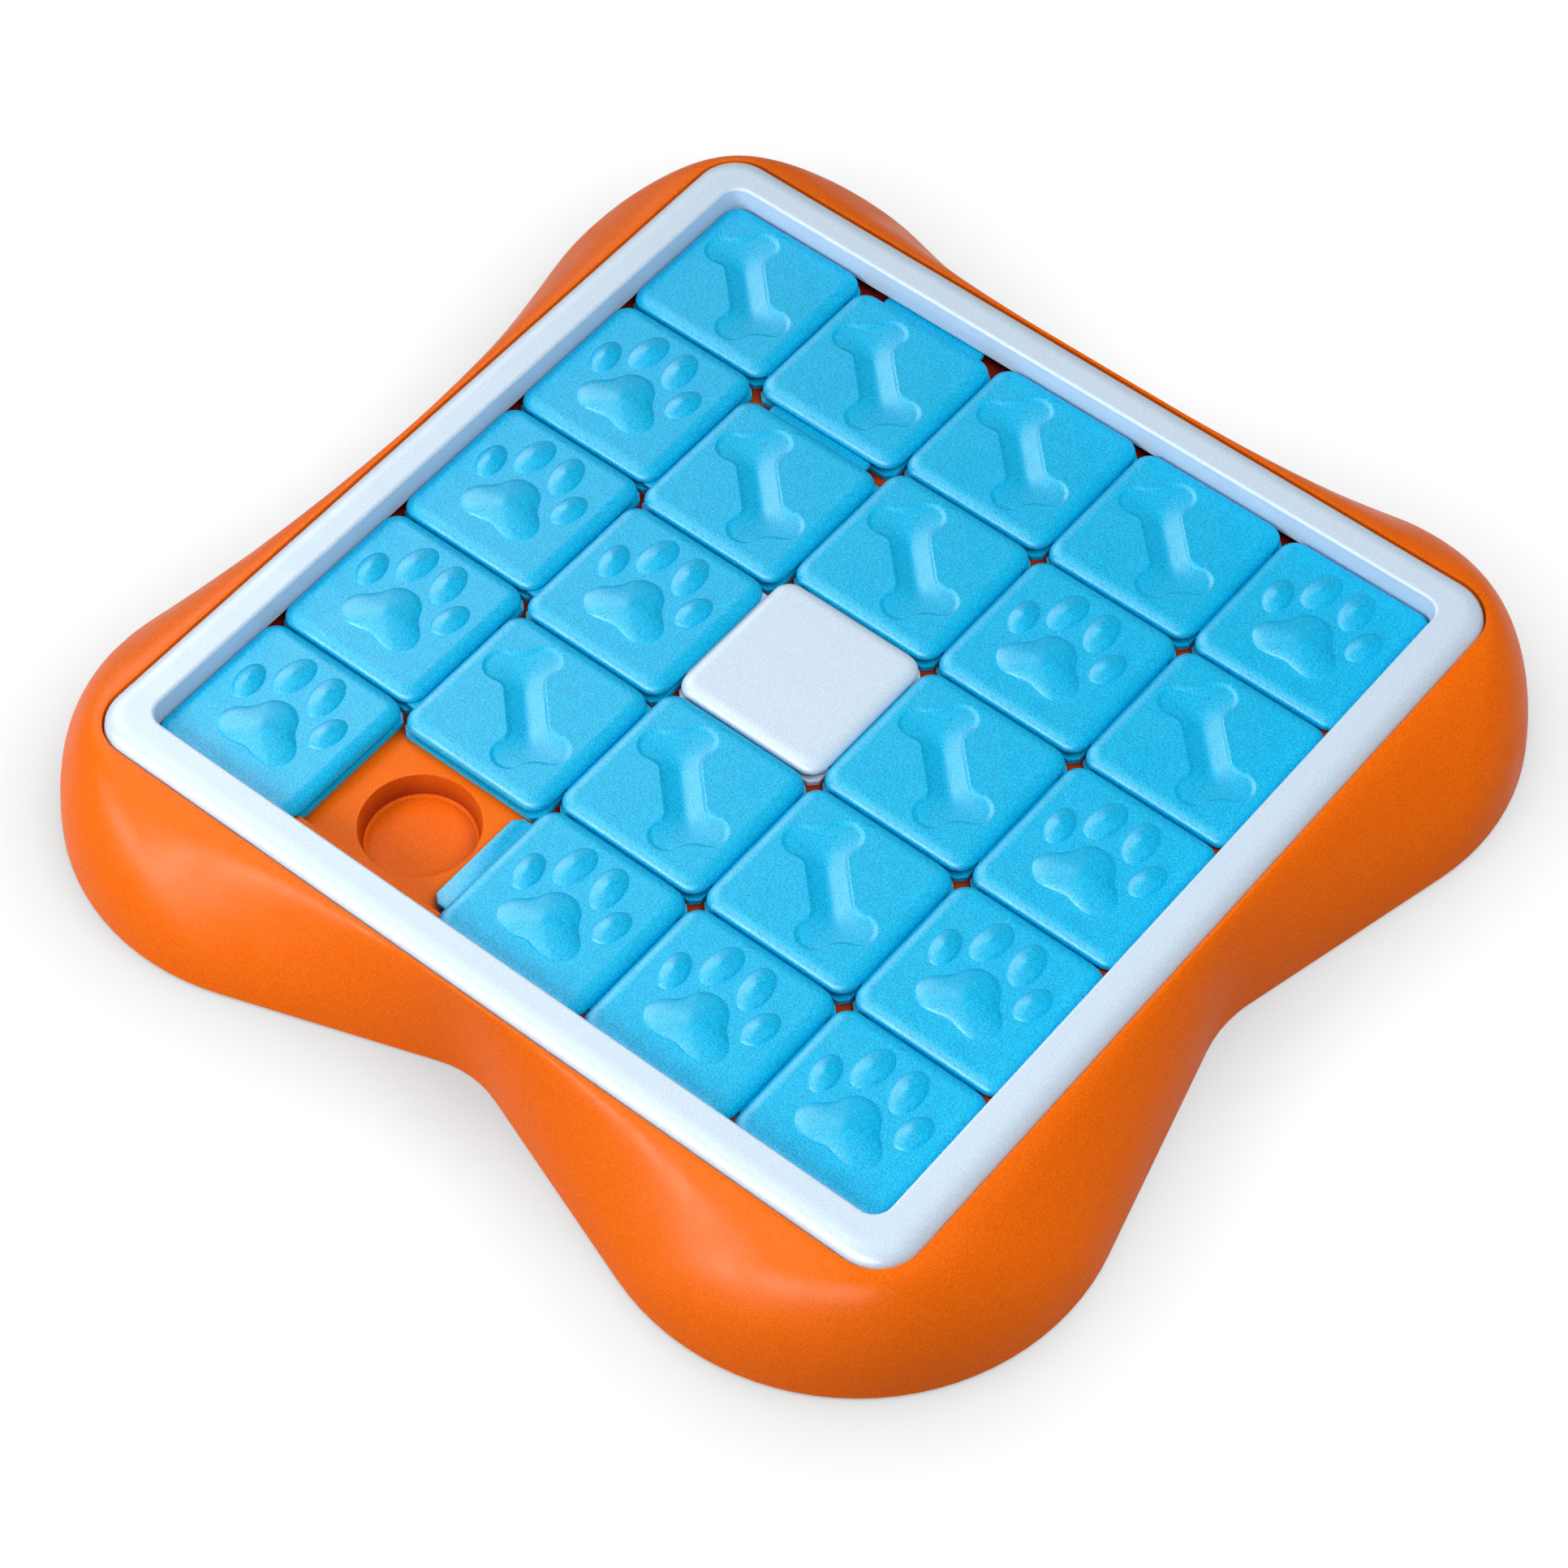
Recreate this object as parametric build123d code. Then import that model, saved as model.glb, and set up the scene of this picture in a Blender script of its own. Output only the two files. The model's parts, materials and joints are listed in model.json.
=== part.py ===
from build123d import *
import os
from math import asin, atan2, cos, hypot, radians, sin, tan

# Sliding-tile puzzle feeder for dogs: a lobed base tray with treat cups under a 5 x 5 field,
# 23 two-piece sliding tiles, one fixed centre tile, one empty cell and a frame that holds all in.
# X runs along the front edge, Y away to the back, Z up. The origin is on the ground, mid-field.

# ------------------------------------------------------------------ driving sizes, millimetres

# field of cells
CELLS = 5
CELL_PITCH = 51.5
TILE_GAP = 0.8
FIELD_CLEARANCE = 0.05

# levels above the ground
FLOOR_LEVEL = 30.0
RIM_LEVEL = 40.2
TRAY_FOOT_LEVEL = 1.2

# tile: a glide plate below, a core with tongues and grooves, a cap on top
TILE_CORNER_RADIUS = 5.8
TILE_EDGE_CHAMFER = 1.1
GLIDE_THICKNESS = 1.6
GLIDE_INSET = 0.2
GLIDE_CORNER_CHAMFER = 2.2
CORE_HEIGHT = 2.3
CORE_INSET = 0.6
CORE_CORNER_CHAMFER = 4.5
CAP_THICKNESS = 3.5
GROOVE_DEPTH = 7.0
TONGUE_REACH = 6.0
TONGUE_LENGTH = 36.0
TONGUE_TIP_CHAMFER = 2.4
TONGUE_PLAY = 0.25
PLUG_SIZE = 30.0
PLUG_HEIGHT = 1.5
PLUG_CLEARANCE = 0.2
PLUG_HEADROOM = 0.5
PLUG_CORNER_CHAMFER = 3.0

# paw print raised on a cap, pointing to +Y
PAW_RISE = 2.0
PAW_SLOPE = 1.6
TOE_OUTER_SIZE = (8.2, 12.8)
TOE_OUTER_PLACE = (14.8, 3.5)
TOE_OUTER_LEAN = -11.0
TOE_INNER_SIZE = (9.3, 15.0)
TOE_INNER_PLACE = (5.9, 12.6)
TOE_INNER_LEAN = 8.0
PAD_OUTLINE = [
    (0.0, 4.6),
    (5.0, 2.6),
    (8.0, -2.2),
    (12.2, -6.4),
    (13.0, -11.0),
    (9.2, -15.0),
    (4.0, -14.9),
    (0.0, -14.3),
]

# bone print sunk into a cap, along the diagonal from the back left to the front right
BONE_DEPTH = 2.0
BONE_WALL_SLOPE = 35.0
BONE_KNOB_RADIUS = 5.6
BONE_KNOB_ALONG = 15.4
BONE_KNOB_ACROSS = 5.9
BONE_NECK_WIDTH = 12.2
BONE_END_FILL = 4.2
BONE_CORNER_ROUND = 2.5

# treat cups and the boss under the fixed centre tile
CUP_MOUTH_DIAMETER = 34.8
CUP_BASE_DIAMETER = 31.9
CUP_DEPTH = 8.0
CUP_BOTTOM_CHAMFER = 0.7
CUP_WALL = 1.8

# base tray
SHELL_WALL = 2.6
FLOOR_THICKNESS = 2.2
LEDGE_OVER_TONGUES = 0.1
TONGUE_TIP_CLEARANCE = 1.05
RAIL_ENGAGEMENT = 5.2
RIM_WIDTH = 1.0
BASE_WIDTH = 341.0
SIDE_WAIST_WIDTH = 302.0
END_WAIST_WIDTH = 289.0
WAIST_BEND_LENGTH = 20.0
LOBE_RADIUS = 74.0
SKIRT_PROFILE = [(0.0, 0.0), (0.05, 0.2), (0.15, 0.4), (0.33, 0.64), (0.62, 0.88), (1.0, 1.0)]
RIB_THICKNESS = 1.6
RIB_DEPTH = 5.0

# frame
FRAME_WIDTH = 12.8
FRAME_TOP_LEVEL = 43.4
FRAME_WALL = 2.2
FRAME_ROOF_CHAMFER = 2.6
FRAME_OUTER_CORNER_RADIUS = 14.0
FRAME_INNER_CORNER_RADIUS = 5.7
FRAME_OUTER_ROUND = 6.5
FRAME_INNER_ROUND = 1.0
FRAME_FIT = 0.2
UPSTAND_THICKNESS = 2.6
UPSTAND_LENGTH = 236.0
UPSTAND_HEADROOM = 0.4
SNAP_WIDTH = 10.0
SNAP_THICKNESS = 1.8
SNAP_CATCH = 0.9
SNAP_CATCH_HEIGHT = 1.0
SNAP_CLEARANCE = 0.25
SNAP_TIP_LENGTH = 0.8

# screws, their bosses and the rubber feet
SCREW_DIAMETER = 2.9
SCREW_HEAD_DIAMETER = 5.6
SCREW_HEAD_HEIGHT = 2.0
SCREW_DRIVE_WIDTH = 1.6
SCREW_DRIVE_DEPTH = 1.0
FRAME_SCREW_LENGTH = 8.4
CENTRE_SCREW_LENGTH = 8.6
PILOT_DIAMETER = 3.0
CLEAR_HOLE_DIAMETER = 3.5
FRAME_BOSS_DIAMETER = 6.8
CENTRE_BOSS_DIAMETER = 11.0
CENTRE_BOSS_DROP = 8.0
CAP_BOSS_DIAMETER = 8.0
HEAD_BORE_DIAMETER = 8.0
SCREW_SEAT_THICKNESS = 3.0
FOOT_DIAMETER = 16.0
FOOT_THICKNESS = 4.0
FOOT_FIT = 0.15
FOOT_SPIGOT_LENGTH = 3.0
FOOT_EDGE_CHAMFER = 0.8
FOOT_POST_WALL = 1.5
POST_INSET = 2.9
CAP_PILOT_DEPTH = 4.4
FRAME_PILOT_ROOF = 1.0

# tile prints by row from the front to the back, and by column from the left to the right
TILE_ROWS = [
    ["paw", None, "paw", "paw", "paw"],
    ["paw", "bone", "bone", "bone", "paw"],
    ["paw", "paw", "centre", "bone", "paw"],
    ["paw", "bone", "bone", "paw", "bone"],
    ["bone", "bone", "bone", "bone", "paw"],
]

# how far tiles of the open column stand from home towards the empty cell, keyed by (column, row)
SLID_FORWARD = {(2, 2): 6.1, (2, 3): 6.1, (2, 4): 6.1, (2, 5): 3.1}

# ------------------------------------------------------------------ sizes that follow

TILE_WIDTH = CELL_PITCH - TILE_GAP
TILE_HALF = TILE_WIDTH / 2
FIELD_HALF = CELLS * CELL_PITCH / 2
TILE_FIELD_HALF = FIELD_HALF - TILE_GAP / 2
OPENING_HALF = FIELD_HALF + FIELD_CLEARANCE
CAP_LEVEL = GLIDE_THICKNESS + CORE_HEIGHT
TILE_HEIGHT = CAP_LEVEL + CAP_THICKNESS
TONGUE_THICKNESS = CORE_HEIGHT - 2 * TONGUE_PLAY
LEDGE_LEVEL = FLOOR_LEVEL + CAP_LEVEL + LEDGE_OVER_TONGUES
FRAME_OUTER_HALF = OPENING_HALF + FRAME_WIDTH
SEAT_HALF = FRAME_OUTER_HALF + FRAME_FIT
SEAT_CORNER_RADIUS = FRAME_OUTER_CORNER_RADIUS + FRAME_FIT
RIM_HALF = SEAT_HALF + RIM_WIDTH
RIM_CORNER_RADIUS = SEAT_CORNER_RADIUS + RIM_WIDTH
TONGUE_SIDE_HALF = TILE_FIELD_HALF + TONGUE_REACH + TONGUE_TIP_CLEARANCE
RAIL_SIDE_HALF = OPENING_HALF + TONGUE_PLAY
POCKET_SIZE = TONGUE_SIDE_HALF + RAIL_SIDE_HALF
POCKET_SHIFT = (TONGUE_SIDE_HALF - RAIL_SIDE_HALF) / 2
UPSTAND_OUTER_HALF = FRAME_OUTER_HALF - FRAME_WALL - FRAME_FIT
POST_PLACE = (OPENING_HALF + FRAME_OUTER_HALF) / 2 - POST_INSET
FRAME_ROOF_LEVEL = FRAME_TOP_LEVEL - FRAME_WALL
CORNER_SIGNS = [(-1, -1), (1, -1), (1, 1), (-1, 1)]


# ------------------------------------------------------------------ small helpers


def block(x_range, y_range, z_range):
    """Box between the given limits."""
    sizes = [high - low for low, high in (x_range, y_range, z_range)]
    middle = [(high + low) / 2 for low, high in (x_range, y_range, z_range)]
    return Pos(*middle) * Box(*sizes)


def square_plate(half, low, high, radius):
    """Square plate with rounded corners, centred on the Z axis."""
    return extrude(Pos(0, 0, low) * RectangleRounded(2 * half, 2 * half, radius), high - low)


def disc(radius, low, high, place=(0, 0)):
    """Upright cylinder between two levels."""
    return Pos(place[0], place[1], (low + high) / 2) * Cylinder(radius, high - low)


def smooth_loop(points):
    """Face inside a closed curve through the points, spaced evenly so that loops loft cleanly."""
    steps = [index / len(points) for index in range(len(points) + 1)]
    return make_face(Edge.make_spline([Vector(x, y) for x, y in points], periodic=True, parameters=steps))


def each_side(piece):
    """The same piece on all four sides."""
    return [Rot(0, 0, 90 * turn) * piece for turn in range(4)]


def cell_centre(column, row):
    """Middle of a cell; columns count from the left and rows from the front, both from 1."""
    middle = (CELLS + 1) / 2
    return (column - middle) * CELL_PITCH, (row - middle) * CELL_PITCH


# ------------------------------------------------------------------ tiles


def tongue():
    """Flat tongue on the tile's left side, with chamfered tips."""
    root = TILE_HALF - GROOVE_DEPTH
    tip = TILE_HALF + TONGUE_REACH
    half = TONGUE_LENGTH / 2
    outline = Polyline(
        (-root, -half),
        (-tip + TONGUE_TIP_CHAMFER, -half),
        (-tip, -half + TONGUE_TIP_CHAMFER),
        (-tip, half - TONGUE_TIP_CHAMFER),
        (-tip + TONGUE_TIP_CHAMFER, half),
        (-root, half),
        close=True,
    )
    return extrude(Pos(0, 0, GLIDE_THICKNESS + TONGUE_PLAY) * make_face(outline), TONGUE_THICKNESS)


def core():
    """Block between glide plate and cap, set back on the right and the front to leave the grooves."""
    wide = TILE_HALF - CORE_INSET
    narrow = TILE_HALF - GROOVE_DEPTH
    outline = Polyline(
        (-wide, -narrow),
        (narrow, -narrow),
        (narrow, wide),
        (-wide + CORE_CORNER_CHAMFER, wide),
        (-wide, wide - CORE_CORNER_CHAMFER),
        close=True,
    )
    return extrude(Pos(0, 0, GLIDE_THICKNESS) * make_face(outline), CORE_HEIGHT)


def plug_outline(size):
    """Square with chamfered corners, for the glide plate's plug and the cap's socket."""
    square = Rectangle(size, size)
    return chamfer(square.vertices(), PLUG_CORNER_CHAMFER)


def blank_cap():
    """Cap with its core, tongues and the socket for the glide plate's plug."""
    cap = extrude(
        Pos(0, 0, CAP_LEVEL) * RectangleRounded(TILE_WIDTH, TILE_WIDTH, TILE_CORNER_RADIUS),
        CAP_THICKNESS,
    )
    cap = chamfer(cap.faces().sort_by(Axis.Z)[-1].edges(), TILE_EDGE_CHAMFER)
    cap += core()
    cap += tongue()
    cap += Rot(0, 0, -90) * tongue()
    socket = extrude(
        Pos(0, 0, GLIDE_THICKNESS) * plug_outline(PLUG_SIZE),
        PLUG_HEIGHT + PLUG_HEADROOM,
    )
    return cap - socket


def glide_plate():
    """Flat plate that runs on the floor, with a plug that centres it in the cap."""
    width = TILE_WIDTH - 2 * GLIDE_INSET
    plate = extrude(chamfer(Rectangle(width, width).vertices(), GLIDE_CORNER_CHAMFER), GLIDE_THICKNESS)
    plug = extrude(
        Pos(0, 0, GLIDE_THICKNESS) * plug_outline(PLUG_SIZE - 2 * PLUG_CLEARANCE),
        PLUG_HEIGHT,
    )
    return plate + plug


def raised_ellipse(size, place, lean, side):
    """One toe of the paw: an ellipse with sloping sides."""
    foot = Ellipse(size[0] / 2, size[1] / 2)
    top = Ellipse(size[0] / 2 - PAW_SLOPE, size[1] / 2 - PAW_SLOPE)
    toe = loft([foot, Pos(0, 0, PAW_RISE) * top], ruled=True)
    return Pos(side * place[0], place[1], TILE_HEIGHT) * Rot(0, 0, side * lean) * toe


def pad_outline(inset):
    """Rounded three-lobed pad, drawn in by the given amount towards its middle."""
    middle = (PAD_OUTLINE[0][1] + PAD_OUTLINE[-1][1]) / 2
    half_height = (PAD_OUTLINE[0][1] - PAD_OUTLINE[-1][1]) / 2
    shrink = (half_height - inset) / half_height
    right = [(x * shrink, middle + (y - middle) * shrink) for x, y in PAD_OUTLINE]
    left = [(-x, y) for x, y in reversed(right[1:-1])]
    return smooth_loop(right + left)


def paw_print():
    """Four toes and the pad, standing on the cap."""
    pieces = [loft([pad_outline(0), Pos(0, 0, PAW_RISE) * pad_outline(PAW_SLOPE)], ruled=True)]
    pieces[0] = Pos(0, 0, TILE_HEIGHT) * pieces[0]
    for side in (-1, 1):
        pieces.append(raised_ellipse(TOE_OUTER_SIZE, TOE_OUTER_PLACE, TOE_OUTER_LEAN, side))
        pieces.append(raised_ellipse(TOE_INNER_SIZE, TOE_INNER_PLACE, TOE_INNER_LEAN, side))
    return pieces


def bone_print():
    """Cutter with sloping sides that sinks the bone into the cap: a neck with two knobs at each end."""
    top = Rectangle(2 * BONE_KNOB_ALONG, BONE_NECK_WIDTH)
    top += Rectangle(2 * (BONE_KNOB_ALONG + BONE_END_FILL), BONE_KNOB_ACROSS)
    for along in (-1, 1):
        for across in (-1, 1):
            place = Pos(along * BONE_KNOB_ALONG, across * BONE_KNOB_ACROSS)
            top += place * Circle(BONE_KNOB_RADIUS)
    top = fillet(top.vertices(), BONE_CORNER_ROUND)
    cutter = extrude(Pos(0, 0, TILE_HEIGHT) * top, -BONE_DEPTH, taper=BONE_WALL_SLOPE)
    return Rot(0, 0, -45) * cutter


def make_cap(kind):
    """Cap of a tile of the given kind, at the origin on the floor."""
    cap = blank_cap()
    if kind == "paw":
        for piece in paw_print():
            cap += piece
    if kind == "bone":
        cap -= bone_print()
    if kind == "centre":
        socket_roof = GLIDE_THICKNESS + PLUG_HEIGHT + PLUG_HEADROOM
        cap += disc(CAP_BOSS_DIAMETER / 2, GLIDE_THICKNESS, socket_roof)
        cap -= disc(PILOT_DIAMETER / 2, GLIDE_THICKNESS, GLIDE_THICKNESS + CAP_PILOT_DEPTH)
    return cap


def make_glide(kind):
    """Glide plate of a tile; the centre tile's has the hole for its screw."""
    glide = glide_plate()
    if kind == "centre":
        glide -= disc(CLEAR_HOLE_DIAMETER / 2, 0, GLIDE_THICKNESS)
        boss_hole = CAP_BOSS_DIAMETER / 2 + PLUG_CLEARANCE
        glide -= disc(boss_hole, GLIDE_THICKNESS, GLIDE_THICKNESS + PLUG_HEIGHT)
    return glide


# ------------------------------------------------------------------ base tray


def skirt_side(growth, inset, waist_width):
    """Points of one side of the skirt's outline, from its waist to the corner, turned to face +X: a
    bend at the waist, a straight flank, half a lobe's arc. Growth 0 is the square rim, 1 the foot."""
    lobe_radius = RIM_CORNER_RADIUS + growth * (LOBE_RADIUS - RIM_CORNER_RADIUS) - inset
    half_width = RIM_HALF + growth * (BASE_WIDTH / 2 - RIM_HALF) - inset
    waist = RIM_HALF + growth * (waist_width / 2 - RIM_HALF) - inset
    bend = WAIST_BEND_LENGTH / 2
    middle = half_width - lobe_radius
    tilt = atan2(middle - waist, middle - bend)
    tilt += asin(lobe_radius / hypot(middle - waist, middle - bend))
    bend_middle = (waist - bend * tan(tilt / 2), 0)
    flank_end = (middle + lobe_radius * cos(tilt), middle - lobe_radius * sin(tilt))
    diagonal = middle + lobe_radius * cos(radians(45))
    return bend_middle, (waist, bend), flank_end, (diagonal, diagonal)


def skirt_outline(level, growth, inset):
    """Closed outline of the skirt at one level, as a wire of tangent arcs and lines."""
    bends = []
    lobes = []
    waists = [SIDE_WAIST_WIDTH, END_WAIST_WIDTH] * 2
    points = [skirt_side(growth, inset, waist) for waist in waists]
    for turn in range(4):
        side = Rot(0, 0, 90 * turn)
        bend_middle, flank_start, flank_end, corner = points[turn]
        _, next_start, next_end, _ = points[turn - 3]
        bend_start = (flank_start[0], -flank_start[1])
        lobe_end = (next_end[1], next_end[0])
        if growth:
            bends.append(side * ThreePointArc(bend_start, bend_middle, flank_start))
        else:
            bends.append(side * Line(bend_start, flank_start))
        lobes.append(side * Line(flank_start, flank_end))
        lobes.append(side * ThreePointArc(flank_end, corner, lobe_end))
        lobes.append(side * Line(lobe_end, (next_start[1], next_start[0])))
    return Pos(0, 0, level) * Wire(bends + lobes)


def skirt_body(inset, drop):
    """Solid inside the skirt's skin, drawn in and lowered for the cavity under it."""
    height = RIM_LEVEL - TRAY_FOOT_LEVEL
    sections = [
        skirt_outline(RIM_LEVEL - drop - share * height, growth, inset)
        for share, growth in SKIRT_PROFILE
    ]
    return Part(Solid.make_loft(sections).wrapped)


def pocket(low, high, margin):
    """Field pocket: wider on the left and at the back, where tile tongues run under the frame."""
    size = POCKET_SIZE + 2 * margin
    return block((-size / 2, size / 2), (-size / 2, size / 2), (low, high)).moved(
        Location((-POCKET_SHIFT, POCKET_SHIFT, 0))
    )


def rail():
    """Lip along the front that holds the front row's tiles down by their grooves."""
    tip = TILE_FIELD_HALF - RAIL_ENGAGEMENT
    low = FLOOR_LEVEL + GLIDE_THICKNESS + TONGUE_PLAY
    return block((-tip, RAIL_SIDE_HALF), (-RAIL_SIDE_HALF, -tip), (low, low + TONGUE_THICKNESS))


def upstand():
    """Wall on the ledge that the frame drops over, on the right side."""
    top = FRAME_ROOF_LEVEL - FRAME_ROOF_CHAMFER - UPSTAND_HEADROOM
    return block(
        (UPSTAND_OUTER_HALF - UPSTAND_THICKNESS, UPSTAND_OUTER_HALF),
        (-UPSTAND_LENGTH / 2, UPSTAND_LENGTH / 2),
        (LEDGE_LEVEL, top),
    )


def cup_hollow():
    """Space inside one cup, with a chamfered bottom edge."""
    hollow = Cone(CUP_BASE_DIAMETER / 2, CUP_MOUTH_DIAMETER / 2, CUP_DEPTH)
    hollow = chamfer(hollow.edges().sort_by(Axis.Z)[0], CUP_BOTTOM_CHAMFER)
    return Pos(0, 0, FLOOR_LEVEL - CUP_DEPTH / 2) * hollow


def cup_body():
    """Outside of one cup, hanging from the floor."""
    depth = CUP_DEPTH + CUP_WALL
    body = Cone(CUP_BASE_DIAMETER / 2 + CUP_WALL, CUP_MOUTH_DIAMETER / 2 + CUP_WALL, depth)
    return Pos(0, 0, FLOOR_LEVEL - depth / 2) * body


def floor_ribs():
    """Ribs under the floor along the lines between the cells, out to the skirt."""
    low = FLOOR_LEVEL - FLOOR_THICKNESS - RIB_DEPTH
    high = LEDGE_LEVEL - SHELL_WALL
    ribs = []
    for line in range(1, CELLS):
        place = line * CELL_PITCH - FIELD_HALF
        side = (place - RIB_THICKNESS / 2, place + RIB_THICKNESS / 2)
        whole = (-BASE_WIDTH / 2, BASE_WIDTH / 2)
        ribs.append(block(side, whole, (low, high)))
        ribs.append(block(whole, side, (low, high)))
    return ribs


def snap_slot():
    """Slot through the ledge for one snap hook of the frame, on the right side."""
    outer = FRAME_OUTER_HALF - SNAP_CLEARANCE
    return block(
        (outer - SNAP_THICKNESS - SNAP_CLEARANCE, outer + SNAP_CATCH + SNAP_CLEARANCE),
        (-SNAP_WIDTH / 2 - SNAP_CLEARANCE, SNAP_WIDTH / 2 + SNAP_CLEARANCE),
        (LEDGE_LEVEL - SHELL_WALL, LEDGE_LEVEL),
    )


def snap_places():
    """Distance of the snap hooks from the middle of each side."""
    return [-CELL_PITCH, CELL_PITCH]


def make_tray():
    """Base tray as one moulding."""
    ledge_underside = LEDGE_LEVEL - SHELL_WALL
    cavity = skirt_body(SHELL_WALL, SHELL_WALL)
    above = (ledge_underside, FRAME_TOP_LEVEL)
    cavity -= square_plate(SEAT_HALF + SHELL_WALL, *above, SEAT_CORNER_RADIUS + SHELL_WALL)
    cavity -= pocket(FLOOR_LEVEL - FLOOR_THICKNESS, FRAME_TOP_LEVEL, SHELL_WALL)
    ribs = [rib & cavity for rib in floor_ribs()]
    tray = skirt_body(0, 0)
    tray -= cavity
    tray -= square_plate(SEAT_HALF, LEDGE_LEVEL, FRAME_TOP_LEVEL, SEAT_CORNER_RADIUS)
    tray -= pocket(FLOOR_LEVEL, FRAME_TOP_LEVEL, 0)
    tray += rail()
    tray += Rot(0, 0, 90) * mirror(rail(), Plane.YZ)
    tray += each_side(upstand())
    tray += ribs
    columns = range(1, CELLS + 1)
    cells = [(c, r) for c in columns for r in columns if TILE_ROWS[r - 1][c - 1] != "centre"]
    centres = [cell_centre(c, r) for c, r in cells]
    tray += [Pos(x, y, 0) * cup_body() for x, y in centres]
    tray -= [Pos(x, y, 0) * cup_hollow() for x, y in centres]
    for x_sign, y_sign in CORNER_SIGNS:
        place = (x_sign * POST_PLACE, y_sign * POST_PLACE)
        tray = add_post(tray, place)
    boss_foot = FLOOR_LEVEL - CENTRE_BOSS_DROP
    tray += disc(CENTRE_BOSS_DIAMETER / 2, boss_foot, FLOOR_LEVEL)
    tray -= disc(CLEAR_HOLE_DIAMETER / 2, boss_foot, FLOOR_LEVEL)
    tray -= disc(HEAD_BORE_DIAMETER / 2, boss_foot, FLOOR_LEVEL - SCREW_SEAT_THICKNESS)
    slots = [Pos(0, along, 0) * snap_slot() for along in snap_places()]
    tray -= [piece for slot in slots for piece in each_side(slot)]
    return tray


def add_post(tray, place):
    """Corner post: carries a rubber foot below and a frame screw above."""
    foot_recess = FOOT_DIAMETER / 2 + FOOT_FIT
    seat_level = LEDGE_LEVEL - SCREW_SEAT_THICKNESS
    tray += disc(foot_recess + FOOT_POST_WALL, TRAY_FOOT_LEVEL, FLOOR_LEVEL, place)
    tray += disc(FRAME_BOSS_DIAMETER / 2, FLOOR_LEVEL, LEDGE_LEVEL, place)
    tray -= disc(foot_recess, 0, FOOT_THICKNESS, place)
    tray -= disc(HEAD_BORE_DIAMETER / 2, FOOT_THICKNESS, FLOOR_LEVEL - FLOOR_THICKNESS, place)
    tray -= disc(SCREW_HEAD_DIAMETER / 2 + FOOT_FIT, FLOOR_LEVEL - FLOOR_THICKNESS, seat_level, place)
    return tray - disc(CLEAR_HOLE_DIAMETER / 2, seat_level, LEDGE_LEVEL, place)


# ------------------------------------------------------------------ frame


def make_frame():
    """Hollow ring over the field's edge, held by corner screws and snap hooks."""
    outer = square_plate(FRAME_OUTER_HALF, LEDGE_LEVEL, FRAME_TOP_LEVEL, FRAME_OUTER_CORNER_RADIUS)
    outer = fillet(outer.faces().sort_by(Axis.Z)[-1].edges(), FRAME_OUTER_ROUND)
    opening = square_plate(OPENING_HALF, LEDGE_LEVEL, FRAME_TOP_LEVEL, FRAME_INNER_CORNER_RADIUS)
    frame = outer - opening
    top = frame.faces().sort_by(Axis.Z)[-1]
    frame = fillet(top.inner_wires()[0].edges(), FRAME_INNER_ROUND)
    hollow = square_plate(
        FRAME_OUTER_HALF - FRAME_WALL,
        LEDGE_LEVEL,
        FRAME_ROOF_LEVEL,
        FRAME_OUTER_CORNER_RADIUS - FRAME_WALL,
    )
    hollow -= square_plate(
        OPENING_HALF + FRAME_WALL,
        LEDGE_LEVEL,
        FRAME_ROOF_LEVEL,
        FRAME_INNER_CORNER_RADIUS + FRAME_WALL,
    )
    frame -= chamfer(hollow.faces().sort_by(Axis.Z)[-1].outer_wire().edges(), FRAME_ROOF_CHAMFER)
    for x_sign, y_sign in CORNER_SIGNS:
        place = (x_sign * POST_PLACE, y_sign * POST_PLACE)
        frame += disc(FRAME_BOSS_DIAMETER / 2, LEDGE_LEVEL, FRAME_ROOF_LEVEL, place)
        frame -= disc(PILOT_DIAMETER / 2, LEDGE_LEVEL, FRAME_ROOF_LEVEL - FRAME_PILOT_ROOF, place)
    hooks = [Pos(0, along, 0) * snap_hook() for along in snap_places()]
    frame += [piece for hook in hooks for piece in each_side(hook)]
    return frame


def snap_hook():
    """Hook on the frame's right side that passes through the ledge and catches under it."""
    outer = FRAME_OUTER_HALF - SNAP_CLEARANCE
    inner = outer - SNAP_THICKNESS
    catch_level = LEDGE_LEVEL - SHELL_WALL - SNAP_CLEARANCE
    tip = catch_level - SNAP_CATCH_HEIGHT - SNAP_TIP_LENGTH
    profile = Polyline(
        (outer, LEDGE_LEVEL),
        (outer, tip),
        (inner, tip),
        (inner - SNAP_CATCH, catch_level - SNAP_CATCH_HEIGHT + SNAP_TIP_LENGTH / 2),
        (inner - SNAP_CATCH, catch_level),
        (inner, catch_level),
        (inner, LEDGE_LEVEL),
        close=True,
    )
    face = make_face(Plane.XZ * profile)
    return extrude(face, SNAP_WIDTH / 2, both=True)


# ------------------------------------------------------------------ screws and feet


def make_screw(length, seat_level, place):
    """Pan-head screw driven from below, its head bearing upwards on the seat."""
    head = disc(SCREW_HEAD_DIAMETER / 2, seat_level - SCREW_HEAD_HEIGHT, seat_level, place)
    shank = disc(SCREW_DIAMETER / 2, seat_level, seat_level + length, place)
    half = SCREW_DRIVE_WIDTH / 2
    low = seat_level - SCREW_HEAD_HEIGHT
    slot = block((-half, half), (-half, half), (low, low + SCREW_DRIVE_DEPTH))
    return head + shank - Pos(place[0], place[1], 0) * slot


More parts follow.
